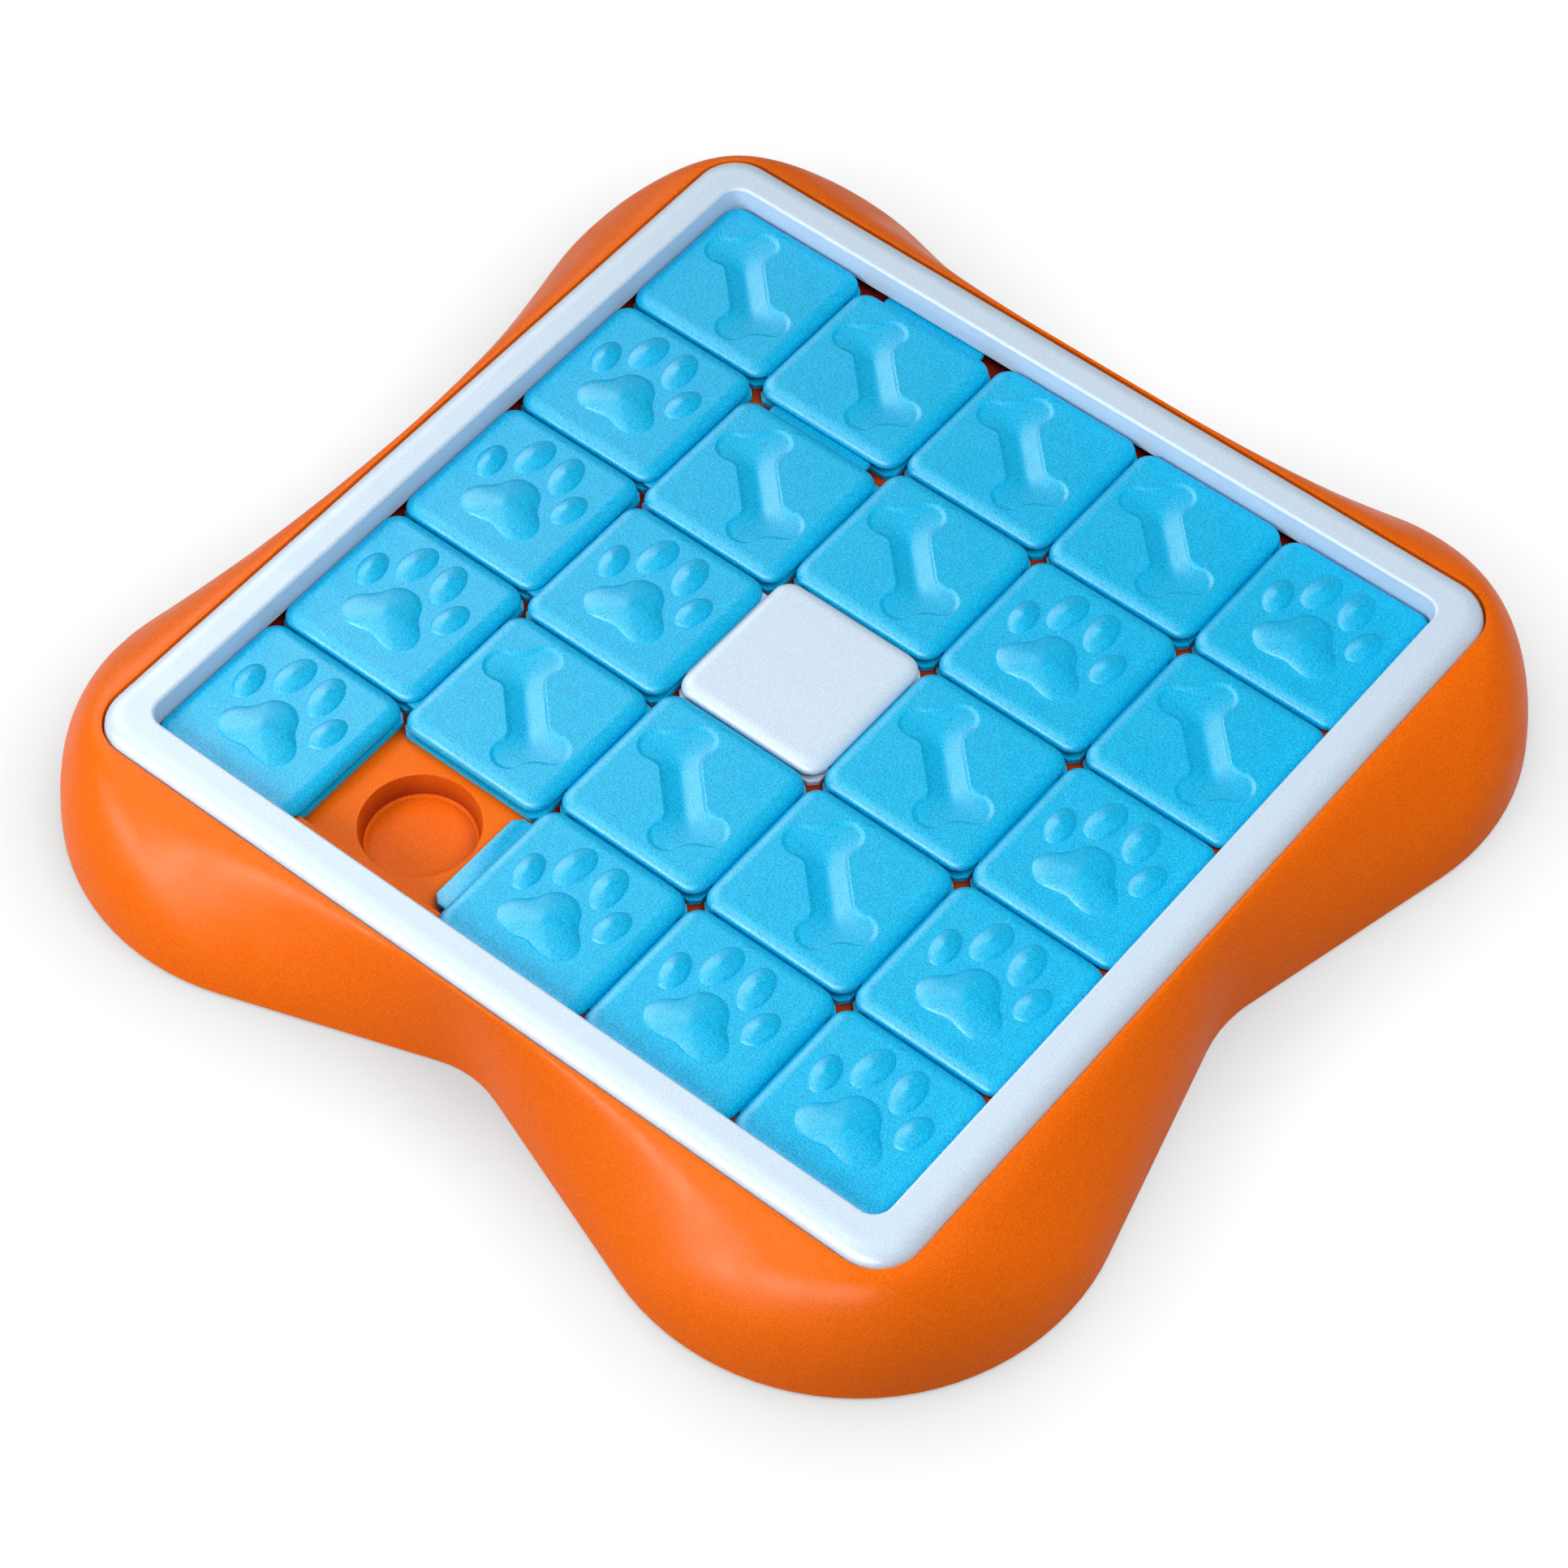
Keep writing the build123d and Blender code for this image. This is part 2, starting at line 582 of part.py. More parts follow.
def make_foot(place):
    """Rubber foot with a spigot that plugs the post's bore."""
    pad = disc(FOOT_DIAMETER / 2, 0, FOOT_THICKNESS)
    pad = chamfer(pad.edges().sort_by(Axis.Z)[0], FOOT_EDGE_CHAMFER)
    spigot = disc(
        HEAD_BORE_DIAMETER / 2 - FOOT_FIT, FOOT_THICKNESS, FOOT_THICKNESS + FOOT_SPIGOT_LENGTH
    )
    return Pos(place[0], place[1], 0) * (pad + spigot)


# ------------------------------------------------------------------ assembly


def save(node, shape):
    """Write one sub-part."""
    export_step(shape, f"parts/{node}.step")


os.makedirs("parts", exist_ok=True)

save("base_tray", make_tray())
save("frame", make_frame())

CAPS = {kind: make_cap(kind) for kind in ("paw", "bone", "centre")}
GLIDES = {"centre": make_glide("centre")}
GLIDES["paw"] = GLIDES["bone"] = make_glide("paw")
for row in range(1, CELLS + 1):
    for column in range(1, CELLS + 1):
        kind = TILE_ROWS[row - 1][column - 1]
        if kind is None:
            continue
        x, y = cell_centre(column, row)
        place = Pos(x, y - SLID_FORWARD.get((column, row), 0.0), FLOOR_LEVEL)
        name = "centre_tile" if kind == "centre" else f"tile_c{column}r{row}"
        save(f"{name}_cap", place * CAPS[kind])
        save(f"{name}_glide", place * GLIDES[kind])

FRAME_SCREW_SEAT = LEDGE_LEVEL - SCREW_SEAT_THICKNESS
FRAME_SCREWS = []
for (x_sign, y_sign), side in zip(CORNER_SIGNS, ("front_left", "front_right", "back_right", "back_left")):
    corner = (x_sign * POST_PLACE, y_sign * POST_PLACE)
    save(f"foot_{side}", make_foot(corner))
    FRAME_SCREWS.append(make_screw(FRAME_SCREW_LENGTH, FRAME_SCREW_SEAT, corner))
save("frame_screws", Compound(children=FRAME_SCREWS))
save("centre_screw", make_screw(CENTRE_SCREW_LENGTH, FLOOR_LEVEL - SCREW_SEAT_THICKNESS, (0, 0)))
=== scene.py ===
"""Dog puzzle feeder toy: the finish of every piece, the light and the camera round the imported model.

The caps of the tiles are modelled here in full: a plate with rounded edges, a core, two tongues, and
a domed paw or a hollow bone on top. The sizes of a cap and of its prints are in millimetres, and so
are the points of a mesh until it is built. The sizes and places of the floor, the lamps and the
camera, and the reach of a shader, are in metres.
"""

import json
import math

import bpy
import numpy as np
from mathutils import Matrix, Vector
from mathutils.geometry import delaunay_2d_cdt

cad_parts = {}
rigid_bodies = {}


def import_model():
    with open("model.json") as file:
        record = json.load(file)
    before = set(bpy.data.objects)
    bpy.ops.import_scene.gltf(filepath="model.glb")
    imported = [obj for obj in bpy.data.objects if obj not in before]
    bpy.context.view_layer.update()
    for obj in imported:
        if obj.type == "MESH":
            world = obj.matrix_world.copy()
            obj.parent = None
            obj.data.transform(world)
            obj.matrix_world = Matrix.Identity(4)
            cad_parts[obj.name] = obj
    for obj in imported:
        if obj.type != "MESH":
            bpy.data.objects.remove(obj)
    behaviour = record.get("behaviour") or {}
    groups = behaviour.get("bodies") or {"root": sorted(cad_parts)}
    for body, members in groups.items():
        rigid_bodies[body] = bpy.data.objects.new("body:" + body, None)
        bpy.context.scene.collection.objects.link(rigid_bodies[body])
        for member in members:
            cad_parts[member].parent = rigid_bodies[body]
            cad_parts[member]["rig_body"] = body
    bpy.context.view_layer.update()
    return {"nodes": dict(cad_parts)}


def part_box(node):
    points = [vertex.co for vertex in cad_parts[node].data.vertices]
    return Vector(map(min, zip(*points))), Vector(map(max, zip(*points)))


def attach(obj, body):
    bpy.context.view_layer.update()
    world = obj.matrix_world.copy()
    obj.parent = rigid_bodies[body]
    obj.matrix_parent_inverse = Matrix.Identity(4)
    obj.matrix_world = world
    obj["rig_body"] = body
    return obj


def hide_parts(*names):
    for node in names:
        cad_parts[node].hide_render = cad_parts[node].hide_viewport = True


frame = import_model()
scene = bpy.context.scene

MM = 0.001

# ------------------------------------------------------------------ sizes of a cap, in mm

TILE_WIDTH = 50.7
TILE_CORNER_RADIUS = 5.8
CORNER_POINTS = 11
PLATE_BOTTOM = 33.9
PLATE_TOP = 37.4
PLATE_LOWER_CHAMFER = 0.3
CORE_BOTTOM = 31.6
CORE_REACH = 24.75
CORE_GROOVE_REACH = 18.35
CORE_CORNER_CHAMFER = 4.5
TONGUE_BOTTOM = 31.85
TONGUE_TOP = 33.65
TONGUE_TIP = 31.35
TONGUE_LENGTH = 36.0
TONGUE_TIP_CHAMFER = 2.4
TONGUE_EDGE_ROUND = 0.35

# The plate's upper edge is a quarter of an ellipse, with a narrow flat rim inside it.
EDGE_DROP = 3.1
EDGE_RUN = 4.0
EDGE_RINGS = 10
RIM_WIDTH = 0.2

# How far the core reaches into the plate, and the tongues into the core.
CORE_OVERLAP = 0.2
TONGUE_OVERLAP = 1.0

# A cap whose CAD node is taller than its plain body by more than this carries a raised paw.
PAW_CLEARANCE = 0.2

# Edges that turn more than this, in degrees, are shaded sharp.
SHARP_ANGLE = 38

# ------------------------------------------------------------------ paw print, pointing to +Y

TOE_RISE = 2.1
PAD_RISE = 2.8
DOME_SHOULDER = 0.26
DOME_CROWN = 1.2
DOME_EDGE = 9.0
TOES = [
    # width, length, x, y, lean in degrees
    (8.2, 12.8, 14.8, 3.5, -11.0),
    (9.3, 15.0, 5.9, 12.6, 8.0),
]
TOE_POINTS = 40
PAD_HALF = [
    (0.0, 4.6),
    (5.0, 2.6),
    (8.0, -2.2),
    (12.2, -6.4),
    (13.0, -11.0),
    (9.2, -15.0),
    (4.0, -14.9),
    (0.0, -14.3),
]
PAD_MIDDLE = (0.0, -7.0)
PAD_STEPS = 8
RING_SHARES = [1.0, 0.985, 0.96, 0.925, 0.88, 0.82, 0.74, 0.64, 0.53, 0.41, 0.28, 0.16, 0.07]

# ------------------------------------------------------------------ bone print, along the diagonal

KNOB_RADIUS = 5.6
KNOB_ALONG = 15.4
KNOB_ACROSS = 5.9
NECK_HALF = 6.1
NECK_FILLET = 4.0
END_FILLET = 7.5
NECK_POINTS = 8
KNOB_POINTS = 26
END_POINTS = 7
BONE_TURN = -45.0
BONE_STEP = 0.5
BONE_STEP_RUN = 1.2
BONE_VALLEY = 2.5
VALLEY_START = 4.0
VALLEY_END = 23.0
VALLEY_ROUND = 0.22
BONE_INSETS = [0.15, 0.35, 0.6, 0.9, 1.2, 1.7, 2.3, 3.0, 3.7, 4.5]
BONE_GRID = 0.8
BONE_GRID_HALF = 5.0
BONE_GRID_GAP = BONE_GRID / 3


# ------------------------------------------------------------------ outlines


def arc(centre, radius, start, stop, count):
    """Points along an arc, both ends included; angles in degrees."""
    angles = np.radians(np.linspace(start, stop, count))
    return np.c_[centre[0] + radius * np.cos(angles), centre[1] + radius * np.sin(angles)]


def rounded_square(half, radius):
    """Closed loop of a square with rounded corners, counter-clockwise."""
    middle = half - radius
    corners = [(middle, middle), (-middle, middle), (-middle, -middle), (middle, -middle)]
    quarters = [arc(at, radius, 90 * k, 90 * (k + 1), CORNER_POINTS) for k, at in enumerate(corners)]
    return np.vstack(quarters)


def smooth_loop(points, steps):
    """Closed Catmull-Rom curve through the points."""
    points = np.array(points, float)
    before, after, beyond = np.roll(points, 1, 0), np.roll(points, -1, 0), np.roll(points, -2, 0)
    t = (np.arange(steps) / steps)[None, :, None]
    p0, p1, p2, p3 = (p[:, None, :] for p in (before, points, after, beyond))
    curve = 2 * p1 + (p2 - p0) * t + (2 * p0 - 5 * p1 + 4 * p2 - p3) * t**2
    curve = curve + (3 * p1 - p0 - 3 * p2 + p3) * t**3
    return (curve / 2).reshape(-1, 2)


def turned(points, degrees):
    """Points turned about the origin."""
    c, s = math.cos(math.radians(degrees)), math.sin(math.radians(degrees))
    return np.array(points) @ np.array([[c, s], [-s, c]])


def inward(loop):
    """Unit vectors that point into a counter-clockwise loop, one at each of its points."""
    along = np.roll(loop, -1, 0) - np.roll(loop, 1, 0)
    along /= np.linalg.norm(along, axis=1)[:, None]
    return np.c_[-along[:, 1], along[:, 0]]


def inside(points, loop):
    """Which points lie in a closed loop."""
    x, y = points[:, 0][:, None], points[:, 1][:, None]
    x0, y0 = loop.T
    x1, y1 = np.roll(loop, -1, 0).T
    crosses = (y0 > y) != (y1 > y)
    # A level edge is never crossed, so its rise only has to be something to divide by.
    rise = np.where(y1 == y0, 1, y1 - y0)
    hits = crosses & (x < (x1 - x0) * (y - y0) / rise + x0)
    return hits.sum(1) % 2 == 1


def eased(value):
    """Smooth step from 0 at 0 to 1 at 1."""
    t = np.clip(value, 0, 1)
    return t * t * (3 - 2 * t)


def with_level(loop, level):
    """Points of a flat loop, all at one level."""
    return np.c_[loop, np.full(len(loop), level)]


# ------------------------------------------------------------------ prints


def ring_indices(count, rings):
    """Indices of the points of closed rings that follow each other, with as many points in each."""
    return [np.arange(count) + k * count for k in range(rings)]


def dome_height(share, rise):
    """Height of a dome, by the share of the way out: an even slope with a steep edge."""
    slope = 1 - share**DOME_CROWN
    edge = 1 - share**DOME_EDGE
    return rise * ((1 - DOME_SHOULDER) * slope + DOME_SHOULDER * edge)


def dome(outline, middle, rise, rounding=0.0):
    """Rings of a raised dome: (points with heights, closed rings of their indices).

    With a rounding of 1 the rings turn from the outline into circles on the way to the middle.
    """
    middle = np.array(middle)
    reach = outline - middle
    distance = np.linalg.norm(reach, axis=1)
    to_circle = reach / distance[:, None] * distance.mean() - reach
    rings = [
        with_level(middle + s * (reach + to_circle * (1 - s) * rounding), dome_height(s, rise))
        for s in RING_SHARES
    ]
    crown = with_level(middle[None], rise)
    return np.vstack(rings + [crown]), ring_indices(len(outline), len(rings))


def paw_print():
    """Four toes and a pad, each a dome."""
    pad_points = PAD_HALF + [(-x, y) for x, y in reversed(PAD_HALF[1:-1])]
    pad = smooth_loop(pad_points, PAD_STEPS)[::-1]
    domes = [dome(pad, PAD_MIDDLE, PAD_RISE, rounding=1.0)]
    ring = arc((0, 0), 1, 0, 360, TOE_POINTS + 1)[:-1]
    for width, length, x, y, lean in TOES:
        for side in (-1, 1):
            place = np.array((side * x, y))
            toe = turned(ring * (width / 2, length / 2), side * lean) + place
            domes.append(dome(toe, place, TOE_RISE))
    return domes


def bone_outline():
    """Closed counter-clockwise loop of the bone, its length along x."""
    neck_rise = NECK_HALF + NECK_FILLET - KNOB_ACROSS
    neck_run = math.sqrt((KNOB_RADIUS + NECK_FILLET) ** 2 - neck_rise**2)
    end_run = math.sqrt((KNOB_RADIUS + END_FILLET) ** 2 - KNOB_ACROSS**2)
    knob = (KNOB_ALONG, KNOB_ACROSS)
    neck_fill = (KNOB_ALONG - neck_run, NECK_HALF + NECK_FILLET)
    end_fill = (KNOB_ALONG + end_run, 0.0)
    to_knob = math.degrees(math.atan2(KNOB_ACROSS - neck_fill[1], KNOB_ALONG - neck_fill[0]))
    to_end = math.degrees(math.atan2(-KNOB_ACROSS, end_fill[0] - KNOB_ALONG))
    quarter = np.vstack(
        [
            [(neck_fill[0] / 2, NECK_HALF)],
            arc(neck_fill, NECK_FILLET, -90, to_knob, NECK_POINTS),
            arc(knob, KNOB_RADIUS, to_knob + 180, to_end, KNOB_POINTS)[1:],
            arc(end_fill, END_FILLET, to_end + 180, 180, END_POINTS)[1:],
        ]
    )
    right = np.vstack([quarter, quarter[::-1][1:] * (1, -1)])
    loop = np.vstack([right, -right])
    return loop[::-1]


def bone_depth(points, inset):
    """How deep the bone's hollow is at points in its own frame, inset from its outline."""
    along, across = np.abs(points[:, 0]), points[:, 1]
    knob = eased((along - KNOB_ALONG / 2) / (KNOB_ALONG / 2))
    half_width = NECK_HALF + (KNOB_ACROSS + KNOB_RADIUS - NECK_HALF) * knob
    slope = np.clip(1 - np.sqrt((across / half_width) ** 2 + VALLEY_ROUND**2), 0, 1)
    fade = 1 - eased((along - VALLEY_START) / (VALLEY_END - VALLEY_START))
    step = eased(inset / BONE_STEP_RUN)
    return BONE_STEP * step + BONE_VALLEY * fade * slope * step


def bone_print():
    """The hollow bone: (points with heights, closed rings of their indices)."""
    outline = bone_outline()
    step_in = inward(outline)
    steps = [0.0] + BONE_INSETS
    rings = [outline + step_in * inset for inset in steps]
    innermost = rings[-1]
    along = np.arange(-KNOB_ALONG, KNOB_ALONG + BONE_GRID / 2, BONE_GRID)
    across = np.arange(-BONE_GRID_HALF, BONE_GRID_HALF, BONE_GRID)
    grid = np.array([(x, y) for x in along for y in across])
    gap = np.linalg.norm(grid[:, None] - innermost[None], axis=2).min(1)
    grid = grid[inside(grid, innermost) & (gap > BONE_GRID_GAP)]
    flat = np.vstack(rings + [grid])
    insets = np.concatenate([np.repeat(steps, len(outline)), np.full(len(grid), steps[-1])])
    points = np.c_[turned(flat, BONE_TURN), -bone_depth(flat, insets)]
    return [(points, ring_indices(len(outline), len(rings)))]


# ------------------------------------------------------------------ meshes

# What the triangulation gives back, which is all the triangles in the rim, and how near to each
# other points are merged, in mm.
ALL_TRIANGLES = 0
MERGE_DISTANCE = 1e-6


class MeshParts:
    """Vertices, faces and sharp edges of a mesh, gathered piece by piece, in mm."""

    def __init__(self):
        self.points, self.faces, self.sharp = [], [], []

    def add_points(self, points):
        """Adds points and gives their indices."""
        start = len(self.points)
        self.points.extend(map(tuple, points))
        return np.arange(start, start + len(points))

    def add_band(self, lower, upper):
        """Quads between two closed rings of the same length, the outside facing out."""
        for k in range(len(lower)):
            after = (k + 1) % len(lower)
            self.faces.append((lower[k], lower[after], upper[after], upper[k]))

    def add_bands(self, rings):
        """Quads through all the rings of points, from the lowest up; gives the rings' indices."""
        indices = [self.add_points(ring) for ring in rings]
        for lower, upper in zip(indices, indices[1:]):
            self.add_band(lower, upper)
        return indices

    def add_loft(self, rings):
        """Closed body through rings of points, with flat ends; the first ring is the lowest."""
        indices = self.add_bands(rings)
        self.faces.append(tuple(indices[0][::-1]))
        self.faces.append(tuple(indices[-1]))

    def add_sharp(self, ring):
        """Marks the edges of a closed ring of indices as sharp."""
        self.sharp.extend(zip(ring, np.roll(ring, -1)))

    def build(self, name, material):
        """The mesh, in metres and smooth but for its sharp edges."""
        mesh = bpy.data.meshes.new(name)
        points = [Vector(p) * MM for p in self.points]
        mesh.from_pydata(points, [], [tuple(map(int, face)) for face in self.faces])
        mesh.polygons.foreach_set("use_smooth", [True] * len(mesh.polygons))
        mesh.set_sharp_from_angle(angle=math.radians(SHARP_ANGLE))
        wanted = {tuple(sorted(map(int, edge))) for edge in self.sharp}
        for edge in mesh.edges:
            if tuple(sorted(edge.vertices)) in wanted:
                edge.use_edge_sharp = True
        mesh.materials.append(material)
        mesh.validate()
        mesh.update()
        return mesh


def add_printed_top(parts, rim_ring, rim_points, prints):
    """Fills the top inside the rim ring, with the prints' surfaces in it."""
    count = len(rim_points)
    points, edges, outlines = [rim_points], [(k, (k + 1) % count) for k in range(count)], []
    total = count
    for print_points, loops in prints:
        points.append(print_points + (0, 0, PLATE_TOP))
        for loop in loops:
            edges.extend(zip(loop + total, np.roll(loop, -1) + total))
        outlines.append(loops[0] + total)
        total += len(print_points)
    points = np.vstack(points)
    constraints = [tuple(map(int, edge)) for edge in edges]
    flat = [Vector(p) for p in points[:, :2]]
    result = delaunay_2d_cdt(flat, constraints, [], ALL_TRIANGLES, MERGE_DISTANCE)
    vertices, _, triangles, origins = result[:4]
    place, found = {}, {}
    for new, (vertex, origin) in enumerate(zip(vertices, origins)):
        old = origin[0]
        found[old] = new
        if old < count:
            place[new] = rim_ring[old]
        else:
            place[new] = parts.add_points([(*vertex, points[old][2])])[0]
    parts.faces.extend(tuple(place[v] for v in triangle) for triangle in triangles)
    for outline in outlines:
        parts.add_sharp(np.array([place[found[old]] for old in outline]))


def plate_rings():
    """Outlines of the plate, from its chamfered foot over its rounded edge to the flat rim."""
    half, radius = TILE_WIDTH / 2, TILE_CORNER_RADIUS
    steps = [(PLATE_LOWER_CHAMFER, PLATE_BOTTOM), (0, PLATE_BOTTOM + PLATE_LOWER_CHAMFER)]
    for turn in np.radians(np.linspace(0, 90, EDGE_RINGS)):
        level = PLATE_TOP - EDGE_DROP * (1 - math.sin(turn))
        steps.append((EDGE_RUN * (1 - math.cos(turn)), level))
    steps.append((EDGE_RUN + RIM_WIDTH, PLATE_TOP))
    return [with_level(rounded_square(half - inset, radius - inset), level) for inset, level in steps]


def core_ring(level):
    """Outline of the core under the plate, shallow where it makes the grooves on +X and -Y."""
    low, high, cut = CORE_REACH, CORE_GROOVE_REACH, CORE_CORNER_CHAMFER
    loop = [
        (high, -high + cut), (high, low - cut), (high - cut, low), (-low + cut, low),
        (-low, low - cut), (-low, -high + cut), (-low + cut, -high), (high - cut, -high),
    ]
    return with_level(np.array(loop), level)


def tongue_ring(level, inset):
    """Outline of the tongue on -X, drawn in by the inset at its tip and ends."""
    root = CORE_REACH - TONGUE_OVERLAP
    tip = TONGUE_TIP - inset
    half = TONGUE_LENGTH / 2 - inset
    cut = TONGUE_TIP_CHAMFER
    loop = [
        (-root, -half), (-root, half), (-tip + cut, half),
        (-tip, half - cut), (-tip, -half + cut), (-tip + cut, -half),
    ]
    return with_level(np.array(loop), level)


def cap_mesh(name, prints, material):
    """One cap with its middle at the origin and its levels as on the tray."""
    parts = MeshParts()
    plate = plate_rings()
    indices = parts.add_bands(plate)
    parts.faces.append(tuple(indices[0][::-1]))
    parts.add_sharp(indices[0])
    add_printed_top(parts, indices[-1], plate[-1], prints)
    parts.add_loft([core_ring(CORE_BOTTOM), core_ring(PLATE_BOTTOM + CORE_OVERLAP)])
    rounding = TONGUE_EDGE_ROUND
    tongue = [
        tongue_ring(TONGUE_BOTTOM, rounding),
        tongue_ring(TONGUE_BOTTOM + rounding, 0),
        tongue_ring(TONGUE_TOP - rounding, 0),
        tongue_ring(TONGUE_TOP, rounding),
    ]
    for turn in (0, -90):
        parts.add_loft([np.c_[turned(ring[:, :2], turn), ring[:, 2]][::-1] for ring in tongue])
    return parts.build(name, material)


# ------------------------------------------------------------------ shader nodes

# A noise node's values lie between these but for a few.
NOISE_SPAN = (0.35, 0.65)

# Painted shade: an ambient occlusion node with this reach tells where the floor of the field is
# covered, and there the orange is painted a darker red. It shows the first share or less where tiles
# cover the floor, and the second or more where it is open. The field ends this far from the middle,
# and nothing beyond it counts as covered.
PAINTED_SHADE_REACH = 0.04
PAINTED_SHADE_SPAN = (0.3, 0.6)
FIELD_HALF = 0.132


def linear(red, green, blue):
    """Scene colour of a display colour given in 0 to 255."""
    def one(value):
        value /= 255
        return value / 12.92 if value <= 0.04045 else ((value + 0.055) / 1.055) ** 2.4
    return (one(red), one(green), one(blue), 1.0)


def shaded(colour, factor):
    """The colour, darker or lighter by the factor."""
    return tuple(min(1.0, c * factor) for c in colour[:3]) + (1.0,)


def feed(tree, value, socket):
    """Gives a socket its value, or links it to the output that is given instead."""
    if isinstance(value, bpy.types.NodeSocket):
        tree.links.new(value, socket)
    else:
        socket.default_value = value


def noise(tree, place, scale, detail):
    """Noise between 0 and 1, fixed to the piece."""
    node = tree.nodes.new("ShaderNodeTexNoise")
    feed(tree, scale, node.inputs["Scale"])
    feed(tree, detail, node.inputs["Detail"])
    feed(tree, place, node.inputs["Vector"])
    return node.outputs["Fac"]


def ranged(tree, value, source, target=(0, 1)):
    """The value moved from the source range to the target range, and held inside it."""
    node = tree.nodes.new("ShaderNodeMapRange")
    feed(tree, value, node.inputs["Value"])
    for end, number in zip(("From Min", "From Max", "To Min", "To Max"), (*source, *target)):
        feed(tree, number, node.inputs[end])
    return node.outputs["Result"]


def bump(tree, height, strength, distance, normal=None):
    """Normal of a surface raised by the height, on top of another normal if there is one."""
    node = tree.nodes.new("ShaderNodeBump")
    feed(tree, strength, node.inputs["Strength"])
    feed(tree, distance, node.inputs["Distance"])
    feed(tree, height, node.inputs["Height"])
    if normal is not None:
        feed(tree, normal, node.inputs["Normal"])
    return node.outputs["Normal"]


def calculated(tree, operation, *values):
    """Result of a sum with one or two values."""
    node = tree.nodes.new("ShaderNodeMath")
    node.operation = operation
    for value, socket in zip(values, node.inputs):
        feed(tree, value, socket)
    return node.outputs["Value"]


def blended(tree, factor, first, second):
    """Colour that goes from the first to the second with the factor."""
    node = tree.nodes.new("ShaderNodeMix")
    node.data_type = "RGBA"
    feed(tree, factor, node.inputs["Factor"])
    feed(tree, first, node.inputs["A"])
    feed(tree, second, node.inputs["B"])
    return node.outputs["Result"]


def mixed(tree, factor, first, second):
    """Shader that goes from the first to the second with the factor."""
    node = tree.nodes.new("ShaderNodeMixShader")
    for value, socket in zip((factor, first, second), node.inputs):
        feed(tree, value, socket)
    return node.outputs["Shader"]


def painted_shade_openness(tree, place):
    """Where shade is painted: 0 on the field's floor under tiles or deep in a cup, 1 where it is open.
    """
    cover = tree.nodes.new("ShaderNodeAmbientOcclusion")
    feed(tree, PAINTED_SHADE_REACH, cover.inputs["Distance"])
    share = ranged(tree, cover.outputs["AO"], PAINTED_SHADE_SPAN)
    split = tree.nodes.new("ShaderNodeSeparateXYZ")
    feed(tree, place, split.inputs["Vector"])
    sides = [calculated(tree, "ABSOLUTE", split.outputs[axis]) for axis in ("X", "Y")]
    beyond = calculated(tree, "GREATER_THAN", calculated(tree, "MAXIMUM", *sides), FIELD_HALF)
    return calculated(tree, "MAXIMUM", share, beyond)


# ------------------------------------------------------------------ finishes

ORANGE = linear(250, 107, 12)
# Painted shade colour: the darker red painted on the covered floor of the field and deep in the cups.
PAINTED_SHADE_ORANGE = linear(120, 26, 20)
BLUE = linear(0, 178, 227)
PALE = linear(202, 219, 235)
RUBBER = linear(62, 62, 66)
DARK_STEEL = linear(176, 178, 182)
LIGHT_STEEL = linear(206, 207, 208)

# Scale and detail of each noise, and the heights that the bumps stand for.
MOTTLE_NOISE = (2400, 2)
ROUGHNESS_NOISE = (90, 3)
WAVE_NOISE = (55, 1)
GRAIN_NOISE = (2300, 2)
ZINC_NOISE = (900, 4)
WEAR_NOISE = (1400, 4)
TURNING_NOISE = (3000, 3)
ROUGHNESS_SPREAD = 0.05
WAVE_STRENGTH = 0.12
WAVE_HEIGHT = 0.0006
GRAIN_HEIGHT = 0.0001
STEEL_ROUGHNESS = (0.25, 0.42)
TURNING_STRENGTH = 0.2
TURNING_HEIGHT = 0.00005


def new_finish(name):
    """A new material: (material, its node tree, the inputs of its shader, place on the piece)."""
    material = bpy.data.materials.new(name)
    material.use_nodes = True
    tree = material.node_tree
    place = tree.nodes.new("ShaderNodeTexCoord").outputs["Object"]
    return material, tree, tree.nodes["Principled BSDF"].inputs, place


def moulded(name, colour, roughness, grain, mottle, specular, deep=None):
    """Moulded plastic or rubber: fine spark-eroded grain, faint flow waves and slight mottling.

    The deep colour, where one is given, is painted shade that takes over on the covered floor of the
    field.
    """
    material, tree, surface, place = new_finish(name)
    speckle = ranged(tree, noise(tree, place, *MOTTLE_NOISE), NOISE_SPAN)
    base = blended(tree, speckle, shaded(colour, 1 - mottle), shaded(colour, 1 + mottle))
    # Painted shade: the darker red takes over where ambient occlusion finds the field's floor covered.
    if deep is not None:
        base = blended(tree, painted_shade_openness(tree, place), deep, base)
    feed(tree, base, surface["Base Color"])
    span = (roughness - ROUGHNESS_SPREAD, roughness + ROUGHNESS_SPREAD)
    rough = ranged(tree, noise(tree, place, *ROUGHNESS_NOISE), NOISE_SPAN, span)
    feed(tree, rough, surface["Roughness"])
    wave = bump(tree, noise(tree, place, *WAVE_NOISE), WAVE_STRENGTH, WAVE_HEIGHT)
    fine = bump(tree, noise(tree, place, *GRAIN_NOISE), grain, GRAIN_HEIGHT, wave)
    feed(tree, fine, surface["Normal"])
    feed(tree, specular, surface["Specular IOR Level"])
    return material


def turned_steel(name):
    """Zinc-plated screw steel with fine turning marks."""
    material, tree, surface, place = new_finish(name)
    feed(tree, 1.0, surface["Metallic"])
    zinc = blended(tree, noise(tree, place, *ZINC_NOISE), DARK_STEEL, LIGHT_STEEL)
    feed(tree, zinc, surface["Base Color"])
    rough = ranged(tree, noise(tree, place, *WEAR_NOISE), NOISE_SPAN, STEEL_ROUGHNESS)
    feed(tree, rough, surface["Roughness"])
    marks = bump(tree, noise(tree, place, *TURNING_NOISE), TURNING_STRENGTH, TURNING_HEIGHT)
    feed(tree, marks, surface["Normal"])
    return material
